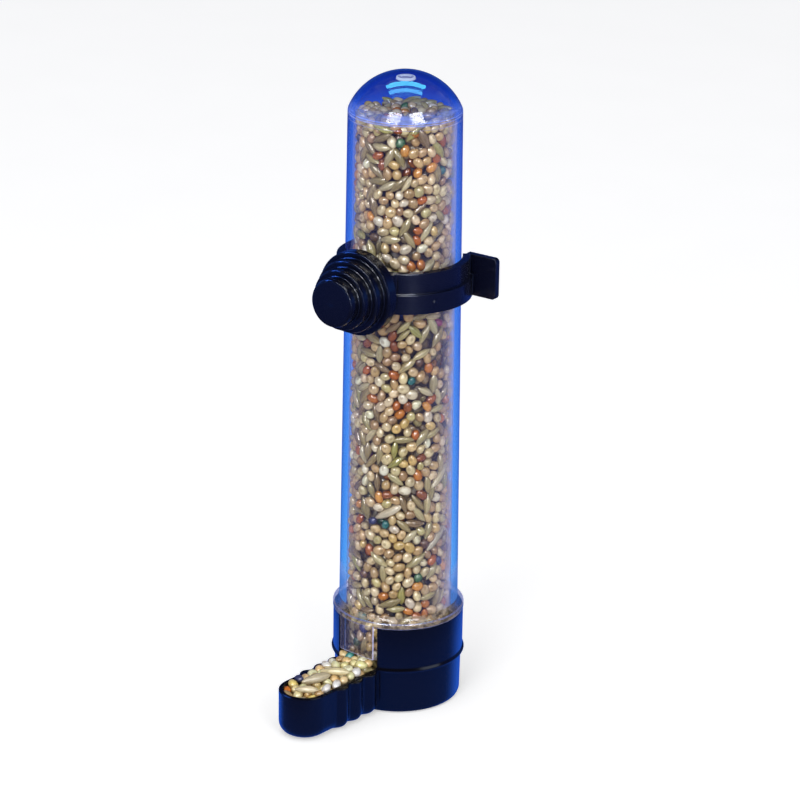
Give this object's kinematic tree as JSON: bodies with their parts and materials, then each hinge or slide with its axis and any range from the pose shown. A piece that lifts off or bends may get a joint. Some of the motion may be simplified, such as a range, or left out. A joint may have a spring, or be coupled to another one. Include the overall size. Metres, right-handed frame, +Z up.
{
  "type": "cage bird tube seed feeder",
  "caption": "Clear domed seed tube standing in a black base cup with a ribbed trough, held to a cage by a C-clip and stepped clamp knob.",
  "frame": {"origin": "centre of the base cup's underside, on the tube's axis", "axes": "+Z up along the tube, the trough points to -Y, +X to the right of someone facing the trough's side of the cup from the front; the clip's knob points to -Y turned 6 degrees towards +X"},
  "size_m": [0.0357, 0.0504, 0.1405],
  "materials": {
    "black_plastic": "gloss black polypropylene",
    "clear_plastic": "clear polystyrene, faint blue",
    "black_clip": "satin black polypropylene",
    "black_knob": "satin black polypropylene",
    "seed_in_tube": "loose mixed seed",
    "seed_in_trough": "loose mixed seed"
  },
  "bodies": {
    "base": {"base_cup": "black_plastic", "seed_pile": "seed_in_trough"},
    "tube": {"seed_tube": "clear_plastic", "seed_column": "seed_in_tube"},
    "clip": {"clip_ring": "black_clip"},
    "knob": {"clamp_knob": "black_knob"}
  },
  "joints": [
    {"name": "tube_lift", "type": "slide", "parent": "base", "child": "tube", "axis": [0, 0, 1], "range_m": [0, 0.03]},
    {"name": "clip_slide", "type": "slide", "parent": "tube", "child": "clip", "axis": [0, 0, 1], "range_m": [-0.014, 0.028]},
    {"name": "knob_back_off", "type": "slide", "parent": "clip", "child": "knob", "axis": [0.1045, -0.9945, 0], "range_m": [0, 0.012]}
  ]
}
